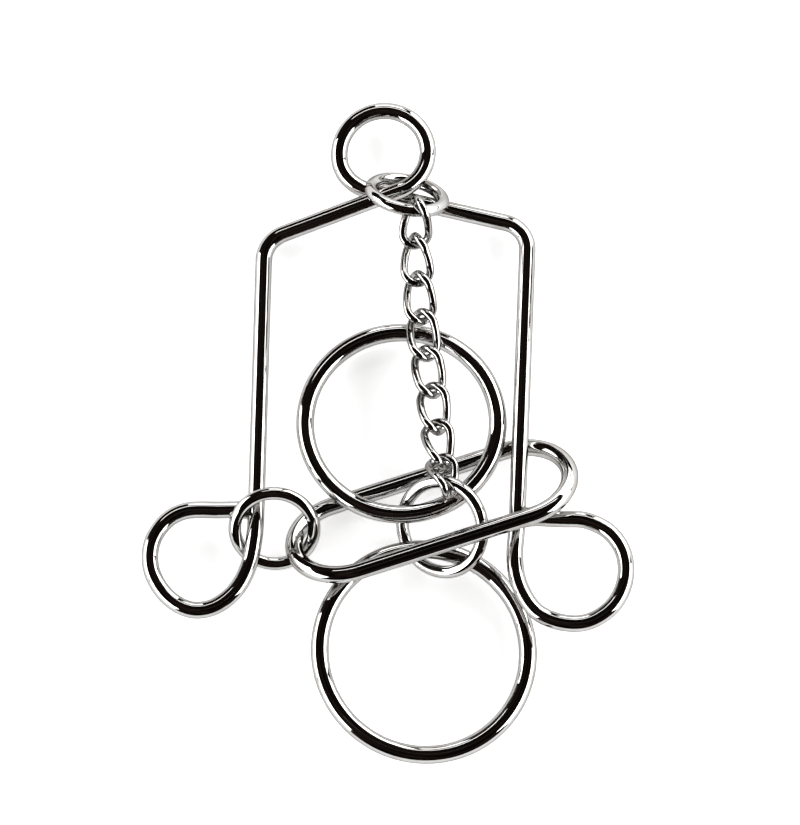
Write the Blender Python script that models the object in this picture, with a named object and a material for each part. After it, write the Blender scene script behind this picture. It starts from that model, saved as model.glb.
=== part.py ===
"""Wire disentanglement puzzle, lying at rest on a table.

A bell-shaped frame of bent wire carries a small ring in its eye.  A twisted chain hangs from
that ring and ends in a second small ring, which holds two large rings.  A third small ring
joins the frame's left loop to a long oval loop, and the oval also closes around the frame's
right leg and around the chain.

Lengths are in metres, +Z is up, and the table is the plane z = 0.
"""
import math

import bmesh
import bpy
from mathutils import Matrix, Quaternion, Vector

MM = 0.001

# Wire diameters
FRAME_WIRE = 2.9 * MM
OVAL_WIRE = 3.0 * MM
LARGE_WIRE = 3.1 * MM
SMALL_WIRE = 2.2 * MM
CHAIN_WIRE = 1.4 * MM

# Play left between wires that hang in each other
GAP = 0.3 * MM

# Oval loop: length and width to the middle of the wire
OVAL_LENGTH = 49.1 * MM
OVAL_WIDTH = 18.1 * MM

# Chain link: half length, half width and twist of the wire's middle line
LINK_HALF_LENGTH = 4.13 * MM
LINK_HALF_WIDTH = 2.25 * MM
LINK_TWIST = math.radians(50.0)


def mm(x, y, z=0.0):
    """A point given in millimetres."""
    return Vector((x, y, z)) * MM


# ------------------------------------------------------------------ rings
# Each ring: middle, radius to the middle of its wire, and the rise of its plane along X and Y

RINGS = {
    "small_ring_top": dict(centre=mm(3.39, 41.01, 6.76), radius=6.35 * MM, rise=(-0.11, -1.241), turn=-9.0),
    "small_ring_side": dict(centre=mm(-19.34, -18.07, 5.56), radius=6.8 * MM, rise=(0.016, 0.86), turn=0.0),
    "small_ring_joining": dict(centre=mm(9.43, -17.78, 5.73), radius=7.85 * MM, rise=(0.613, 0.422), turn=0.0),
    "large_ring_upper": dict(centre=mm(2.43, 0.9, 4.17), radius=16.6 * MM, rise=(0.007, -0.094), turn=0.0),
    "large_ring_lower": dict(centre=mm(6.28, -39.19, 3.49), radius=17.9 * MM, rise=(-0.108, 0.014), turn=0.0),
}


def ring_matrix(ring):
    """World matrix of a ring drawn flat around the origin."""
    rise_x, rise_y = ring["rise"]
    normal = Vector((-rise_x, -rise_y, 1.0)).normalized()
    tilt = Vector((0.0, 0.0, 1.0)).rotation_difference(normal).to_matrix().to_4x4()
    turn = Matrix.Rotation(math.radians(ring["turn"]), 4, "Z")
    return Matrix.Translation(ring["centre"]) @ turn @ tilt


def ring_line(ring, steps=180):
    m = ring_matrix(ring)
    angles = [2.0 * math.pi * i / steps for i in range(steps)]
    return [m @ (ring["radius"] * Vector((math.cos(a), math.sin(a), 0.0))) for a in angles]


# ------------------------------------------------------------------ bell frame

LEFT_CORNER = mm(-21.4, 34.2)
RIGHT_CORNER = mm(24.45, 36.3)
CORNER_BEND = 5.0 * MM

# Eye: radius at its start and end, and the share of its turn after which it narrows
EYE_CENTRE = mm(-0.7, 49.5)
EYE_START_R = 7.7 * MM
EYE_END_R = 6.8 * MM
EYE_START = math.radians(-70.9)
EYE_END = math.radians(256.1)
EYE_TOP_Z = 4.95 * MM
EYE_LOW_Z = 1.5 * MM
EYE_NARROWING = 0.8
LEFT_FOOT = mm(-22.5, -14.5)
RIGHT_FOOT = mm(22.2, -17.7)

# Spots on the legs that the ends of the foot loops are welded to
LEFT_WELD = mm(-22.5, -14.5)
RIGHT_WELD = mm(22.27, -16.1)

# Spots that each foot loop's wire passes, in order from the foot back to the weld
LEFT_LOOP = [
    mm(-22.8, -19.6), mm(-23.8, -24.8), mm(-26.0, -29.0), mm(-29.7, -31.9),
    mm(-33.8, -32.3), mm(-37.7, -29.9), mm(-40.3, -25.5), mm(-40.4, -20.7),
    mm(-38.1, -16.7), mm(-34.4, -14.7), mm(-28.4, -14.6),
]
RIGHT_LOOP = [
    mm(21.8, -23.5), mm(22.6, -28.3), mm(25.2, -32.7), mm(29.3, -34.8),
    mm(34.0, -34.9), mm(38.2, -32.3), mm(40.5, -28.0), mm(40.5, -23.0),
    mm(38.1, -19.0), mm(34.0, -16.8), mm(29.3, -16.5),
]

# Spots that the frame rests on, with the height of its wire's middle there
REST_CORNER = mm(-21.5, 33.5, 1.5)
REST_SIDE_RING = mm(-22.4, -23.0, 5.42)
REST_OVAL = mm(21.9, -3.9, 5.07)


def frame_height(x, y):
    """Height of the frame's plane above the table."""
    a, b, c = REST_CORNER, REST_SIDE_RING, REST_OVAL
    n = (b - a).cross(c - a)
    return a.z - (n.x * (x - a.x) + n.y * (y - a.y)) / n.z


def bend(before, corner, after, radius, steps):
    """Points of a round bend at the corner between two straight runs."""
    to_before = (before - corner).normalized()
    to_after = (after - corner).normalized()
    half = to_before.angle(to_after) / 2.0
    reach = radius / math.tan(half)
    centre = corner + (to_before + to_after).normalized() * radius / math.sin(half)
    start = corner + to_before * reach - centre
    end = corner + to_after * reach - centre
    turn = start.rotation_difference(end)
    return [centre + Quaternion(turn.axis, turn.angle * i / steps) @ start for i in range(steps + 1)]


def loop_line(corner, foot, spots, weld, steps=3):
    """A foot loop from the leg round to its weld: a smooth line through the given spots."""
    before = foot + (corner - foot).normalized() * (spots[0] - foot).length
    knots = [before, foot] + spots + [weld]
    points = []
    for p0, p1, p2, p3 in zip(knots, knots[1:], knots[2:], knots[3:]):
        for i in range(steps):
            t = i / steps
            swing = (p2 - p0) * t + (2.0 * p0 - 5.0 * p1 + 4.0 * p2 - p3) * t ** 2
            swing += (3.0 * (p1 - p2) + p3 - p0) * t ** 3
            points.append(p1 + swing / 2.0)
    points.append(spots[-1])
    stub = (weld - spots[-1]).normalized()
    points.append(weld - stub * (FRAME_WIRE + GAP))
    return points


def eye_line(steps):
    points = []
    for i in range(steps + 1):
        t = i / steps
        a = EYE_START + (EYE_END - EYE_START) * t
        closing = max(0.0, (t - EYE_NARROWING) / (1.0 - EYE_NARROWING))
        r = EYE_START_R + (EYE_END_R - EYE_START_R) * closing * closing * (3.0 - 2.0 * closing)
        p = EYE_CENTRE + r * Vector((math.cos(a), math.sin(a), 0.0))
        p.z = EYE_TOP_Z + (EYE_LOW_Z - EYE_TOP_Z) * t
        points.append(p)
    return points


def frame_line(eye_steps=36, bend_steps=5):
    """Middle line of the frame's wire, from the left weld to the right one."""
    def laid(points):
        return [Vector((p.x, p.y, frame_height(p.x, p.y))) for p in points]

    eye = eye_line(eye_steps)
    left_loop = laid(loop_line(LEFT_CORNER, LEFT_FOOT, LEFT_LOOP, LEFT_WELD))
    right_loop = laid(loop_line(RIGHT_CORNER, RIGHT_FOOT, RIGHT_LOOP, RIGHT_WELD))
    left_corner = laid([LEFT_CORNER])[0]
    right_corner = laid([RIGHT_CORNER])[0]
    left_foot = left_loop[0]
    right_foot = right_loop[0]
    line = list(reversed(left_loop))
    line += bend(left_foot, left_corner, eye[0], CORNER_BEND, bend_steps)
    line += eye
    line += bend(eye[-1], right_corner, right_foot, CORNER_BEND, bend_steps)
    line += right_loop
    return line


# ------------------------------------------------------------------ oval loop

OVAL_CENTRE = mm(7.62, -15.21, 6.8)
OVAL_HEADING = math.radians(18.1)
OVAL_TILT = math.radians(-36.0)


def oval_matrix():
    heading = Matrix.Rotation(OVAL_HEADING, 4, "Z")
    tilt = Matrix.Rotation(OVAL_TILT, 4, "X")
    return Matrix.Translation(OVAL_CENTRE) @ heading @ tilt


def oval_line(end_steps=16):
    """Two straight bars joined by half circles."""
    r = OVAL_WIDTH / 2.0
    half = OVAL_LENGTH / 2.0 - r
    m = oval_matrix()
    points = []
    for side in (1.0, -1.0):
        for i in range(end_steps + 1):
            a = -math.pi / 2.0 + math.pi * i / end_steps
            points.append(m @ Vector((side * (half + r * math.cos(a)), side * r * math.sin(a), 0.0)))
    return points


# ------------------------------------------------------------------ chain
# Each link: heading from -Y towards +X, fall and roll, in degrees

LINKS = [
    (-4.3, 26.1, 25.4),
    (4.4, 11.7, 25.3),
    (4.8, 12.9, 14.1),
    (6.9, 3.3, 3.7),
    (9.6, 5.1, -2.0),
    (6.5, -1.6, -9.9),
    (7.1, -11.1, -24.5),
    (7.3, -30.1, -32.7),
]
CHAIN_START_X = 5.1 * MM


def chain_directions():
    out = []
    for heading, fall, roll in LINKS:
        h, f = math.radians(heading), math.radians(fall)
        out.append(Vector((math.sin(h) * math.cos(f), -math.cos(h) * math.cos(f), -math.sin(f))))
    return out


def chain_matrices():
    """World matrix of each link drawn along Y, its far end towards +Y."""
    ring = RINGS["small_ring_top"]
    line = ring_line(ring, 720)
    front = min((p for p in line if p.y < ring["centre"].y), key=lambda p: abs(p.x - CHAIN_START_X))
    directions = chain_directions()
    tip = front - directions[0] * (SMALL_WIRE / 2.0 + CHAIN_WIRE / 2.0 + GAP)
    out = []
    for i, d in enumerate(directions):
        y = -d
        side = y.cross(Vector((0.0, 0.0, 1.0))).normalized()
        up = side.cross(y)
        turn = Matrix((side, y, up)).transposed().to_4x4()
        roll = Matrix.Rotation(math.radians(-LINKS[i][2]), 4, "Y")
        centre = tip + d * LINK_HALF_LENGTH
        out.append(Matrix.Translation(centre) @ turn @ roll)
        low = tip + d * 2.0 * LINK_HALF_LENGTH
        if i + 1 < len(directions):
            mean = (d + directions[i + 1]).normalized()
            tip = low - mean * (CHAIN_WIRE + GAP)
    return out


def link_line(matrix, end_steps=8, side_steps=4):
    """Middle line of a link: an oval whose two ends are twisted against each other."""
    a, b = LINK_HALF_LENGTH, LINK_HALF_WIDTH
    flat = []
    for side in (1.0, -1.0):
        for i in range(end_steps + 1):
            t = math.pi * i / end_steps
            flat.append((side * b * math.cos(t), side * (a - b + b * math.sin(t))))
        for i in range(1, side_steps):
            y = side * (a - b) * (1.0 - 2.0 * i / side_steps)
            flat.append((-side * b, y))
    points = []
    for x, y in flat:
        twist = LINK_TWIST * y / a
        points.append(matrix @ Vector((x * math.cos(twist), y, x * math.sin(twist))))
    return points


# ------------------------------------------------------------------ modelling

TORUS_SIDES = 10
LARGE_RING_STEPS = 56
SMALL_RING_STEPS = 36
WELD_BEAD_R = 2.0 * MM
WELD_BEAD_PLACE = 0.62
CAP_WELD = 0.01 * MM

# Brightness and roughness of the plating
FRAME_TINT, FRAME_ROUGHNESS = 0.86, 0.08
RING_TINT, RING_ROUGHNESS = 0.84, 0.10
CHAIN_TINT, CHAIN_ROUGHNESS = 0.78, 0.16


def clear_scene():
    for obj in list(bpy.data.objects):
        bpy.data.objects.remove(obj, do_unlink=True)


def new_collection(name):
    collection = bpy.data.collections.new(name)
    bpy.context.scene.collection.children.link(collection)
    return collection


def chrome(name, tint, roughness):
    """Bright plated wire."""
    material = bpy.data.materials.new(name)
    material.use_nodes = True
    shader = material.node_tree.nodes["Principled BSDF"]
    shader.inputs["Base Color"].default_value = (tint, tint, tint * 0.98, 1.0)
    shader.inputs["Metallic"].default_value = 1.0
    shader.inputs["Roughness"].default_value = roughness
    return material


def finish_piece(obj, tint, roughness):
    """Give a piece its own material and round shading, and file it with the puzzle."""
    obj.data.materials.clear()
    obj.data.materials.append(chrome(obj.name + "_chrome", tint, roughness))
    obj.data.shade_smooth()
    for collection in list(obj.users_collection):
        collection.objects.unlink(obj)
    puzzle.objects.link(obj)
    return obj


def add_ring(name, ring, wire, steps):
    bpy.ops.mesh.primitive_torus_add(
        major_radius=ring["radius"], minor_radius=wire / 2.0,
        major_segments=steps, minor_segments=TORUS_SIDES)
    obj = bpy.context.active_object
    obj.name = name
    obj.matrix_world = ring_matrix(ring)
    return obj


def add_wire(name, line, wire, closed):
    """A round wire bent along a line, as a closed mesh."""
    curve = bpy.data.curves.new(name + "_path", "CURVE")
    curve.dimensions = "3D"
    curve.bevel_depth = wire / 2.0
    curve.bevel_resolution = 2
    curve.use_fill_caps = not closed
    spline = curve.splines.new("POLY")
    spline.points.add(len(line) - 1)
    for point, place in zip(spline.points, line):
        point.co = (*place, 1.0)
    spline.use_cyclic_u = closed
    path = bpy.data.objects.new(name + "_path", curve)
    puzzle.objects.link(path)
    depsgraph = bpy.context.evaluated_depsgraph_get()
    mesh = bpy.data.meshes.new_from_object(path.evaluated_get(depsgraph))
    weld_caps(mesh)
    obj = bpy.data.objects.new(name, mesh)
    obj.matrix_world = path.matrix_world
    puzzle.objects.link(obj)
    bpy.data.objects.remove(path)
    return obj


def weld_caps(mesh):
    bm = bmesh.new()
    bm.from_mesh(mesh)
    bmesh.ops.remove_doubles(bm, verts=bm.verts, dist=CAP_WELD)
    bmesh.ops.recalc_face_normals(bm, faces=bm.faces)
    bm.to_mesh(mesh)
    bm.free()


def add_weld_bead(name, end, leg):
    """A ball of weld metal that bridges a loop's end and its leg, left as a Boolean operand."""
    bpy.ops.mesh.primitive_uv_sphere_add(segments=16, ring_count=10, radius=WELD_BEAD_R,
                                         location=leg.lerp(end, WELD_BEAD_PLACE))
    bead = bpy.context.active_object
    bead.name = name
    bead.hide_render = True
    bead.display_type = "WIRE"
    for collection in list(bead.users_collection):
        collection.objects.unlink(bead)
    cutters.objects.link(bead)
    return bead


def fuse(obj, other):
    join = obj.modifiers.new("fuse_" + other.name, "BOOLEAN")
    join.operation = "UNION"
    join.solver = "EXACT"
    join.object = other


def hang(piece, pivot, carrier=None):
    """Hang a piece from an empty that stands on its joint's axis."""
    hinge = bpy.data.objects.new(piece.name + "_pivot", None)
    hinge.empty_display_size = 3.0 * MM
    hinge.location = pivot
    puzzle.objects.link(hinge)
    bpy.context.view_layer.update()
    if carrier:
        hinge.parent = carrier
        hinge.matrix_parent_inverse = carrier.matrix_world.inverted()
    piece.parent = hinge
    piece.matrix_parent_inverse = Matrix.Translation(-pivot)


def nearest(line, other):
    """The point of a line that lies nearest to another line."""
    return min(line, key=lambda p: min((p - q).length_squared for q in other))


# ------------------------------------------------------------------ puzzle

clear_scene()
puzzle = new_collection("ring_puzzle")
cutters = new_collection("weld_beads")

lines = {"bell_frame": frame_line(), "oval_loop": oval_line()}
bell = add_wire("bell_frame", lines["bell_frame"], FRAME_WIRE, closed=False)
oval = add_wire("oval_loop", lines["oval_loop"], OVAL_WIRE, closed=True)
for side, weld, end in (("left", LEFT_WELD, 0), ("right", RIGHT_WELD, -1)):
    leg = Vector((weld.x, weld.y, frame_height(weld.x, weld.y)))
    fuse(bell, add_weld_bead("weld_bead_" + side, lines["bell_frame"][end], leg))
finish_piece(bell, FRAME_TINT, FRAME_ROUGHNESS)
finish_piece(oval, FRAME_TINT, FRAME_ROUGHNESS)

for name, ring in RINGS.items():
    lines[name] = ring_line(ring)
    if name.startswith("large"):
        piece = add_ring(name, ring, LARGE_WIRE, LARGE_RING_STEPS)
    else:
        piece = add_ring(name, ring, SMALL_WIRE, SMALL_RING_STEPS)
    finish_piece(piece, RING_TINT, RING_ROUGHNESS)

chain = []
for number, matrix in enumerate(chain_matrices(), start=1):
    name = "chain_link_" + str(number)
    lines[name] = link_line(matrix)
    link = add_wire(name, lines[name], CHAIN_WIRE, closed=True)
    chain.append(finish_piece(link, CHAIN_TINT, CHAIN_ROUGHNESS).name)

# Each piece hangs from the wire that carries it, about the spot where the two touch
run = ["bell_frame", "small_ring_top"] + chain + ["small_ring_joining", "large_ring_upper"]
carried = list(zip(run[1:], run[:-1]))
carried.append(("large_ring_lower", "small_ring_joining"))
carried.append(("small_ring_side", "bell_frame"))
carried.append(("oval_loop", "small_ring_side"))
for name, carrier in carried:
    pivot = nearest(lines[carrier], lines[name])
    hang(bpy.data.objects[name], pivot, bpy.data.objects[carrier])
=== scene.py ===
"""Looks of a wire disentanglement puzzle: chromed wires lying on a pale table under soft boxes.

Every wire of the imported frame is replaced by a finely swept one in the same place.  Rings, links
and the oval take their place and tilt from their CAD nodes.  The bell's wire follows the same
bends as the CAD one, so its spots are repeated here.  Lengths are in metres and +Z is up.
"""
import math

import bmesh
import bpy
import numpy as np
from mathutils import Matrix, Quaternion, Vector


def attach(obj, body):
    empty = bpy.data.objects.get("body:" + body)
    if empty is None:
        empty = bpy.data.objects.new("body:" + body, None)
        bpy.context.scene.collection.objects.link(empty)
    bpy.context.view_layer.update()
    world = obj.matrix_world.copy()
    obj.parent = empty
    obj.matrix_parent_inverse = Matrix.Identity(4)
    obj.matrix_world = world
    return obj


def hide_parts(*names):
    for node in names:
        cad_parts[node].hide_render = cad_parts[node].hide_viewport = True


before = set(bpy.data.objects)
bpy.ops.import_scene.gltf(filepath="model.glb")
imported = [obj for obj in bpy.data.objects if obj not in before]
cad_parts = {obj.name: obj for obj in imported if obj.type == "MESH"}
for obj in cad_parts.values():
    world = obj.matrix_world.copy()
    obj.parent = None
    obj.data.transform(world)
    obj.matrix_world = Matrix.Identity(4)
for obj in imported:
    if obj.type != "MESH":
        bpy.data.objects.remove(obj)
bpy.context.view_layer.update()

MM = 0.001

# Wire diameters
FRAME_WIRE = 2.9 * MM
OVAL_WIRE = 3.0 * MM
LARGE_WIRE = 3.1 * MM
SMALL_WIRE = 2.2 * MM
CHAIN_WIRE = 1.4 * MM

# Oval loop: length and width to the middle of the wire
OVAL_LENGTH = 49.1 * MM
OVAL_WIDTH = 18.1 * MM

# Chain link: half length, half width and twist of the wire's middle line
LINK_HALF_LENGTH = 4.13 * MM
LINK_HALF_WIDTH = 2.25 * MM
LINK_TWIST = math.radians(50.0)


def mm(x, y, z=0.0):
    """A point given in millimetres."""
    return Vector((x, y, z)) * MM


# ------------------------------------------------------------------ places taken from the CAD

def node_corners(node):
    """The corners of a CAD node at rest, each one once."""
    corners = {tuple(round(value, 7) for value in v.co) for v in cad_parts[node].data.vertices}
    return np.array(sorted(corners))


def node_matrix(node):
    """A node's middle and own axes: X along its greatest spread, Z along its least."""
    corners = node_corners(node)
    middle = corners.mean(axis=0)
    spread, axes = np.linalg.eigh(np.cov((corners - middle).T))
    longest, second = Vector(axes[:, 2]), Vector(axes[:, 1])
    turn = Matrix((longest, second, longest.cross(second))).transposed().to_4x4()
    return Matrix.Translation(Vector(middle)) @ turn


def ring_radius(node):
    """Radius to the middle of a ring's wire: the mean reach of its corners from its axis."""
    back = node_matrix(node).inverted()
    return float(np.mean([(back @ Vector(corner)).xy.length for corner in node_corners(node)]))


# ------------------------------------------------------------------ middle lines of the wires

LEFT_CORNER = mm(-21.4, 34.2)
RIGHT_CORNER = mm(24.45, 36.3)
CORNER_BEND = 5.0 * MM

# Eye: radius at its start and end, and the share of its turn after which it narrows
EYE_CENTRE = mm(-0.7, 49.5)
EYE_START_R = 7.7 * MM
EYE_END_R = 6.8 * MM
EYE_START = math.radians(-70.9)
EYE_END = math.radians(256.1)
EYE_TOP_Z = 4.95 * MM
EYE_LOW_Z = 1.5 * MM
EYE_NARROWING = 0.8

LEFT_FOOT = mm(-22.5, -14.5)
RIGHT_FOOT = mm(22.2, -17.7)

# Spots on the legs that the ends of the foot loops are welded to
LEFT_WELD = mm(-22.5, -14.5)
RIGHT_WELD = mm(22.27, -16.1)

# Spots that each foot loop's wire passes, in order from the foot back to the weld
LEFT_LOOP = [
    mm(-22.8, -19.6), mm(-23.8, -24.8), mm(-26.0, -29.0), mm(-29.7, -31.9),
    mm(-33.8, -32.3), mm(-37.7, -29.9), mm(-40.3, -25.5), mm(-40.4, -20.7),
    mm(-38.1, -16.7), mm(-34.4, -14.7), mm(-28.4, -14.6),
]
RIGHT_LOOP = [
    mm(21.8, -23.5), mm(22.6, -28.3), mm(25.2, -32.7), mm(29.3, -34.8),
    mm(34.0, -34.9), mm(38.2, -32.3), mm(40.5, -28.0), mm(40.5, -23.0),
    mm(38.1, -19.0), mm(34.0, -16.8), mm(29.3, -16.5),
]

# Spots that the frame rests on, with the height of its wire's middle there
REST_CORNER = mm(-21.5, 33.5, 1.5)
REST_SIDE_RING = mm(-22.4, -23.0, 5.42)
REST_OVAL = mm(21.9, -3.9, 5.07)


def frame_height(x, y):
    """Height of the bell's plane above the table."""
    a, b, c = REST_CORNER, REST_SIDE_RING, REST_OVAL
    n = (b - a).cross(c - a)
    return a.z - (n.x * (x - a.x) + n.y * (y - a.y)) / n.z


def bend(before, corner, after, radius, steps):
    """Points of a round bend at the corner between two straight runs."""
    to_before = (before - corner).normalized()
    to_after = (after - corner).normalized()
    half = to_before.angle(to_after) / 2.0
    reach = radius / math.tan(half)
    centre = corner + (to_before + to_after).normalized() * radius / math.sin(half)
    start = corner + to_before * reach - centre
    end = corner + to_after * reach - centre
    turn = start.rotation_difference(end)
    return [centre + Quaternion(turn.axis, turn.angle * i / steps) @ start for i in range(steps + 1)]


def loop_line(corner, foot, spots, weld, steps):
    """A foot loop from the leg round to its weld on the leg: a smooth line through the spots."""
    before = foot + (corner - foot).normalized() * (spots[0] - foot).length
    knots = [before, foot] + spots + [weld]
    points = []
    for p0, p1, p2, p3 in zip(knots, knots[1:], knots[2:], knots[3:]):
        for i in range(steps):
            t = i / steps
            swing = (p2 - p0) * t + (2.0 * p0 - 5.0 * p1 + 4.0 * p2 - p3) * t ** 2
            swing += (3.0 * (p1 - p2) + p3 - p0) * t ** 3
            points.append(p1 + swing / 2.0)
    return points + [spots[-1].lerp(weld, i / steps) for i in range(steps)]


def eye_line(steps):
    points = []
    for i in range(steps + 1):
        t = i / steps
        a = EYE_START + (EYE_END - EYE_START) * t
        closing = max(0.0, (t - EYE_NARROWING) / (1.0 - EYE_NARROWING))
        r = EYE_START_R + (EYE_END_R - EYE_START_R) * closing * closing * (3.0 - 2.0 * closing)
        p = EYE_CENTRE + r * Vector((math.cos(a), math.sin(a), 0.0))
        p.z = EYE_TOP_Z + (EYE_LOW_Z - EYE_TOP_Z) * t
        points.append(p)
    return points


def bell_line(eye_steps=150, bend_steps=20, loop_steps=10):
    """Middle line of the bell's wire, from the left weld to the right one."""
    def laid(points):
        return [Vector((p.x, p.y, frame_height(p.x, p.y))) for p in points]

    eye = eye_line(eye_steps)
    left_loop = laid(loop_line(LEFT_CORNER, LEFT_FOOT, LEFT_LOOP, LEFT_WELD, loop_steps))
    right_loop = laid(loop_line(RIGHT_CORNER, RIGHT_FOOT, RIGHT_LOOP, RIGHT_WELD, loop_steps))
    line = list(reversed(left_loop))
    line += bend(left_loop[0], laid([LEFT_CORNER])[0], eye[0], CORNER_BEND, bend_steps)
    line += eye
    line += bend(eye[-1], laid([RIGHT_CORNER])[0], right_loop[0], CORNER_BEND, bend_steps)
    return line + right_loop


def ring_line(node, steps):
    m = node_matrix(node)
    radius = ring_radius(node)
    turns = [2.0 * math.pi * i / steps for i in range(steps)]
    return [m @ (radius * Vector((math.cos(a), math.sin(a), 0.0))) for a in turns]


def oval_line(end_steps=72, bar_steps=30):
    """Two straight bars joined by half circles."""
    m = node_matrix("oval_loop")
    r = OVAL_WIDTH / 2.0
    half = OVAL_LENGTH / 2.0 - r
    points = []
    for side in (1.0, -1.0):
        for i in range(end_steps + 1):
            a = -math.pi / 2.0 + math.pi * i / end_steps
            points.append(m @ Vector((side * (half + r * math.cos(a)), side * r * math.sin(a), 0.0)))
        for i in range(1, bar_steps):
            points.append(m @ Vector((side * half * (1.0 - 2.0 * i / bar_steps), side * r, 0.0)))
    return points


def link_line(node, end_steps=28, side_steps=12):
    """Middle line of a chain link: an oval whose two ends are twisted against each other."""
    m = node_matrix(node)
    a, b = LINK_HALF_LENGTH, LINK_HALF_WIDTH
    flat = []
    for side in (1.0, -1.0):
        for i in range(end_steps + 1):
            t = math.pi * i / end_steps
            flat.append((side * (a - b + b * math.sin(t)), side * b * math.cos(t)))
        for i in range(1, side_steps):
            flat.append((side * (a - b) * (1.0 - 2.0 * i / side_steps), -side * b))
    points = []
    for along, across in flat:
        twist = -LINK_TWIST * along / a
        points.append(m @ Vector((along, across * math.cos(twist), across * math.sin(twist))))
    return points


# ------------------------------------------------------------------ wires as meshes

def sections(line, closed):
    """For each point of a line, two directions square to the wire, carried along without a twist."""
    count = len(line)
    if closed:
        tangents = [(line[(i + 1) % count] - line[i - 1]).normalized() for i in range(count)]
    else:
        ends = [line[0]] + line + [line[-1]]
        tangents = [(after - before).normalized() for before, after in zip(ends, ends[2:])]
    side = tangents[0].orthogonal().normalized()
    sides = [side]
    for before, after in zip(tangents, tangents[1:]):
        side = before.rotation_difference(after) @ side
        sides.append((side - after * side.dot(after)).normalized())
    if closed:
        last = tangents[-1].rotation_difference(tangents[0]) @ sides[-1]
        slip = math.atan2(last.cross(sides[0]).dot(tangents[0]), last.dot(sides[0]))
        sides = [Quaternion(t, slip * i / count) @ s for i, (t, s) in enumerate(zip(tangents, sides))]
    return [(s, t.cross(s)) for s, t in zip(sides, tangents)]


def run_lengths(line):
    out = [0.0]
    for a, b in zip(line, line[1:]):
        out.append(out[-1] + (b - a).length)
    return out


def wire(name, line, diameter, closed, sides, shape=None):
    """A round wire swept along a line.  shape gives its relative thickness at a length along it.

    Each corner also keeps its place on the straightened wire, which the finish's drawn lines follow.
    On a closed wire that place runs half way round and back again, so the finish has no seam.
    """
    lengths = run_lengths(line)
    bm = bmesh.new()
    drawn = bm.verts.layers.float_vector.new("drawn")
    rings = []
    for point, (u, v), length in zip(line, sections(line, closed), lengths):
        radius = diameter / 2.0 * (shape(length, lengths[-1]) if shape else 1.0)
        along = min(length, lengths[-1] - length) if closed else length
        ring = []
        for i in range(sides):
            a = 2.0 * math.pi * i / sides
            corner = bm.verts.new(point + radius * (math.cos(a) * u + math.sin(a) * v))
            corner[drawn] = Vector((along, radius * math.cos(a), radius * math.sin(a)))
            ring.append(corner)
        rings.append(ring)
    pairs = list(zip(rings, rings[1:]))
    if closed:
        pairs.append((rings[-1], rings[0]))
    for near, far in pairs:
        for i in range(sides):
            j = (i + 1) % sides
            bm.faces.new((near[i], near[j], far[j], far[i]))
    if not closed:
        bm.faces.new(list(reversed(rings[0])))
        bm.faces.new(rings[-1])
    bmesh.ops.recalc_face_normals(bm, faces=bm.faces)
    mesh = bpy.data.meshes.new(name)
    bm.to_mesh(mesh)
    bm.free()
    mesh.shade_smooth()
    obj = bpy.data.objects.new(name, mesh)
    bpy.context.scene.collection.objects.link(obj)
    return obj


def butt_weld(swell, width):
    """Thickness of a closed wire: a low ridge where its two ends were welded together."""
    def shape(length, total):
        away = min(length, total - length)
        return 1.0 + swell * math.exp(-(away / width) ** 2)
    return shape


FLARE_REACH = 2.6 * MM
FLARE_SWELL = 0.42


def weld_flare(length, total):
    """Thickness of the bell's wire: it widens into the weld metal where each end meets its leg."""
    away = min(length, total - length)
    return 1.0 + FLARE_SWELL * max(0.0, 1.0 - away / FLARE_REACH) ** 1.5


# ------------------------------------------------------------------ finish

# Darker mirror of the chrome where it is seen edge on
EDGE_TINT = (0.34, 0.32, 0.31, 1.0)

# Size of the noise, in waves per metre, for handled patches, ripples and drawn lines
PATCH_WAVES = 260.0
RIPPLE_WAVES = 170.0
LINE_WAVES = 3200.0
LINE_DEPTH = 0.0012 * MM

# How much rougher the handled patches are
WORN_ROUGHER = 2.2


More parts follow.
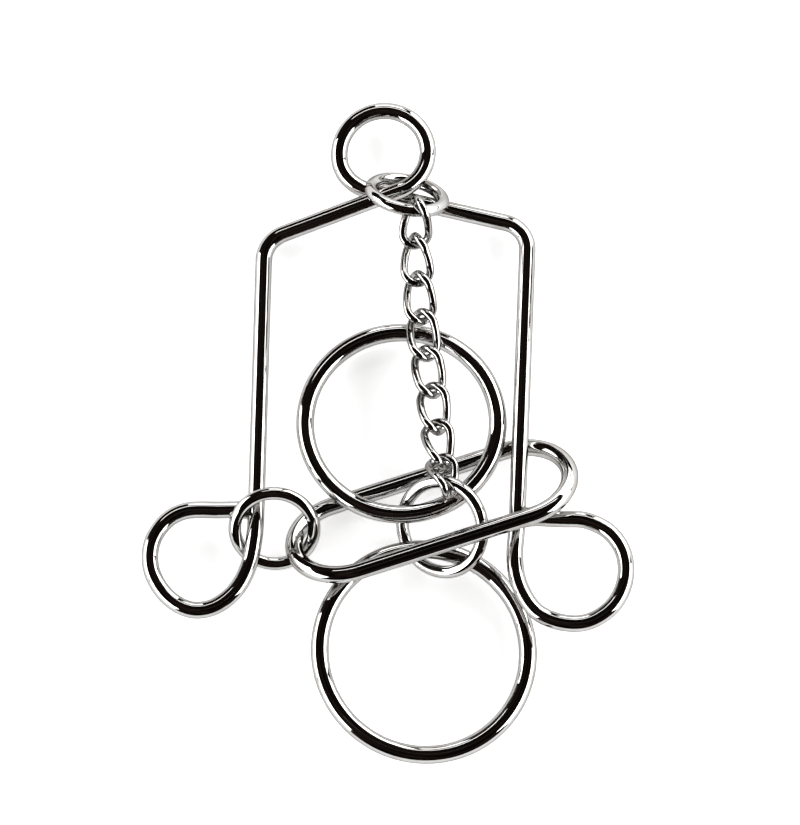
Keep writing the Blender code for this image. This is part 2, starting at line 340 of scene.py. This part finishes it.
def chrome(name, tint, roughness, waviness):
    """Polished plating over drawn wire: slow ripples, fine drawn lines and a few duller patches."""
    material = bpy.data.materials.new(name)
    material.use_nodes = True
    nodes, links = material.node_tree.nodes, material.node_tree.links
    shader = nodes["Principled BSDF"]
    shader.inputs["Metallic"].default_value = 1.0
    shader.inputs["Specular Tint"].default_value = EDGE_TINT

    place = nodes.new("ShaderNodeTexCoord")
    drawn = nodes.new("ShaderNodeAttribute")
    drawn.attribute_name = "drawn"

    def noise(vector, scale, detail, stretch=(1.0, 1.0, 1.0)):
        mapping = nodes.new("ShaderNodeMapping")
        mapping.inputs["Scale"].default_value = stretch
        texture = nodes.new("ShaderNodeTexNoise")
        texture.inputs["Scale"].default_value = scale
        texture.inputs["Detail"].default_value = detail
        links.new(vector, mapping.inputs["Vector"])
        links.new(mapping.outputs["Vector"], texture.inputs["Vector"])
        return texture.outputs["Fac"]

    def ramp(fac, low, high, start, end):
        blend = nodes.new("ShaderNodeValToRGB")
        blend.color_ramp.elements[0].position = start
        blend.color_ramp.elements[1].position = end
        blend.color_ramp.elements[0].color = low
        blend.color_ramp.elements[1].color = high
        links.new(fac, blend.inputs["Fac"])
        return blend.outputs["Color"]

    handled = noise(place.outputs["Object"], PATCH_WAVES, 3.0)
    dull = (tint * 0.90, tint * 0.87, tint * 0.83, 1.0)
    bright = (tint, tint * 0.995, tint * 0.98, 1.0)
    links.new(ramp(handled, dull, bright, 0.32, 0.56), shader.inputs["Base Color"])

    worn = (roughness * WORN_ROUGHER,) * 3 + (1.0,)
    clean = (roughness,) * 3 + (1.0,)
    links.new(ramp(handled, worn, clean, 0.30, 0.52), shader.inputs["Roughness"])

    ripples = nodes.new("ShaderNodeBump")
    ripples.inputs["Distance"].default_value = waviness
    links.new(noise(drawn.outputs["Vector"], RIPPLE_WAVES, 1.0, (1.0, 1.6, 1.6)), ripples.inputs["Height"])
    lines = nodes.new("ShaderNodeBump")
    lines.inputs["Distance"].default_value = LINE_DEPTH
    links.new(noise(drawn.outputs["Vector"], LINE_WAVES, 2.0, (0.05, 1.0, 1.0)), lines.inputs["Height"])
    links.new(ripples.outputs["Normal"], lines.inputs["Normal"])
    links.new(lines.outputs["Normal"], shader.inputs["Normal"])
    return material


def add_piece(name, node, line, diameter, closed, sides, shape, material):
    piece = wire(name, line, diameter, closed, sides, shape)
    piece.data.materials.append(material)
    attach(piece, node)
    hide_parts(node)


frame_chrome = chrome("bell_chrome", 0.47, 0.045, 0.04 * MM)
ring_chrome = chrome("ring_chrome", 0.49, 0.04, 0.035 * MM)
# The chain's chrome has a lower tint than the bell's and the rings': painted shade for the shade among its
# crowded links
chain_chrome_painted_shade = chrome("chain_chrome_painted_shade", 0.37, 0.08, 0.02 * MM)

add_piece("bell_wire", "bell_frame", bell_line(), FRAME_WIRE, False, 28, weld_flare, frame_chrome)
add_piece("oval_wire", "oval_loop", oval_line(), OVAL_WIRE, True, 28,
          butt_weld(0.02, 0.5 * MM), frame_chrome)
for node in ("large_ring_upper", "large_ring_lower"):
    add_piece(node + "_wire", node, ring_line(node, 240), LARGE_WIRE, True, 28,
              butt_weld(0.005, 0.6 * MM), ring_chrome)
for node in ("small_ring_top", "small_ring_side", "small_ring_joining"):
    add_piece(node + "_wire", node, ring_line(node, 150), SMALL_WIRE, True, 24,
              butt_weld(0.005, 0.5 * MM), ring_chrome)
for node in sorted(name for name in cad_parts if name.startswith("chain_link_")):
    add_piece(node + "_wire", node, link_line(node), CHAIN_WIRE, True, 16,
              butt_weld(0.05, 0.25 * MM), chain_chrome_painted_shade)


# ------------------------------------------------------------------ table, backdrop and light

FLOOR_RADIUS = 2.4
BACKDROP_RADIUS = 2.3


def plain(name, colour, glow):
    material = bpy.data.materials.new(name)
    material.use_nodes = True
    shader = material.node_tree.nodes["Principled BSDF"]
    shader.inputs["Base Color"].default_value = (*colour, 1.0)
    shader.inputs["Roughness"].default_value = 0.9
    shader.inputs["Specular IOR Level"].default_value = 0.2
    if glow:
        shader.inputs["Emission Color"].default_value = (*colour, 1.0)
        shader.inputs["Emission Strength"].default_value = glow
    return material


def add_floor():
    bm = bmesh.new()
    bmesh.ops.create_circle(bm, cap_ends=True, segments=96, radius=FLOOR_RADIUS)
    mesh = bpy.data.meshes.new("table_top")
    bm.to_mesh(mesh)
    bm.free()
    floor = bpy.data.objects.new("table_top", mesh)
    floor.data.materials.append(plain("table_white", (0.93, 0.93, 0.93), 0.62))
    bpy.context.scene.collection.objects.link(floor)


def add_backdrop():
    """A pale dome around the table, for views from low down; the chrome doesn't mirror it."""
    bm = bmesh.new()
    bmesh.ops.create_uvsphere(bm, u_segments=64, v_segments=32, radius=BACKDROP_RADIUS)
    mesh = bpy.data.meshes.new("backdrop")
    bm.to_mesh(mesh)
    bm.free()
    dome = bpy.data.objects.new("backdrop", mesh)
    dome.data.materials.append(plain("backdrop_white", (0.9, 0.9, 0.9), 1.0))
    dome.visible_glossy = False
    dome.visible_diffuse = False
    dome.visible_shadow = False
    bpy.context.scene.collection.objects.link(dome)


def soft_box(name, azimuth, elevation, distance, width, height, brightness):
    """A rectangular soft light that faces the puzzle; azimuth 0 is the camera's side, 90 the right."""
    a, e = math.radians(azimuth), math.radians(elevation)
    away = Vector((math.sin(a) * math.cos(e), -math.cos(a) * math.cos(e), math.sin(e)))
    light = bpy.data.lights.new(name, "AREA")
    light.shape = "RECTANGLE"
    light.size = width
    light.size_y = height
    light.energy = brightness * math.pi * width * height
    obj = bpy.data.objects.new(name, light)
    obj.location = away * distance
    obj.rotation_mode = "QUATERNION"
    obj.rotation_quaternion = away.to_track_quat("Z", "Y")
    obj.visible_camera = False
    bpy.context.scene.collection.objects.link(obj)


add_floor()
add_backdrop()
soft_box("box_right_front", 84.0, 20.0, 0.8, 0.72, 0.46, 7.0)
soft_box("box_right_back", 138.0, 20.0, 0.8, 0.66, 0.46, 7.0)
soft_box("box_left_front", 300.0, 17.0, 0.8, 0.52, 0.40, 6.6)
soft_box("box_left_back", 260.0, 17.0, 0.8, 0.56, 0.40, 6.6)
soft_box("box_behind", 180.0, 18.0, 0.85, 0.34, 0.34, 3.6)
soft_box("shelf_behind", 185.0, 46.0, 0.85, 0.70, 0.07, 4.0)
soft_box("ceiling_strip", 20.0, 82.0, 0.9, 0.50, 0.012, 0.25)


def dark_room():
    """The unlit room that the black bands on the chrome mirror: nearly black, with dim brown patches."""
    world = bpy.data.worlds.new("dark_room")
    world.use_nodes = True
    nodes, links = world.node_tree.nodes, world.node_tree.links
    place = nodes.new("ShaderNodeTexCoord")
    patches = nodes.new("ShaderNodeTexNoise")
    patches.inputs["Scale"].default_value = 2.2
    patches.inputs["Detail"].default_value = 4.0
    shades = nodes.new("ShaderNodeValToRGB")
    shades.color_ramp.elements[0].position = 0.42
    shades.color_ramp.elements[0].color = (0.002, 0.0018, 0.0016, 1.0)
    shades.color_ramp.elements[1].position = 0.72
    shades.color_ramp.elements[1].color = (0.034, 0.022, 0.018, 1.0)
    links.new(place.outputs["Generated"], patches.inputs["Vector"])
    links.new(patches.outputs["Fac"], shades.inputs["Fac"])
    links.new(shades.outputs["Color"], nodes["Background"].inputs["Color"])
    return world


bpy.context.scene.world = dark_room()
bpy.context.scene.view_settings.view_transform = "Standard"


# ------------------------------------------------------------------ camera

CAMERA_ELEVATION = math.radians(75.97)
LENS = 300.0
SENSOR = 36.0
FRAME_HEIGHT = 142.55 * MM
LOOK_X = 2.17 * MM
LOOK_V = 3.71 * MM

toward = Vector((0.0, -math.cos(CAMERA_ELEVATION), math.sin(CAMERA_ELEVATION)))
up = Vector((0.0, math.sin(CAMERA_ELEVATION), math.cos(CAMERA_ELEVATION)))
camera_data = bpy.data.cameras.new("camera")
camera_data.lens = LENS
camera_data.sensor_width = SENSOR
camera = bpy.data.objects.new("camera", camera_data)
camera.location = up * LOOK_V + Vector((LOOK_X, 0.0, 0.0)) + toward * (FRAME_HEIGHT * LENS / SENSOR)
camera.rotation_mode = "QUATERNION"
camera.rotation_quaternion = toward.to_track_quat("Z", "Y")
bpy.context.scene.collection.objects.link(camera)
bpy.context.scene.camera = camera
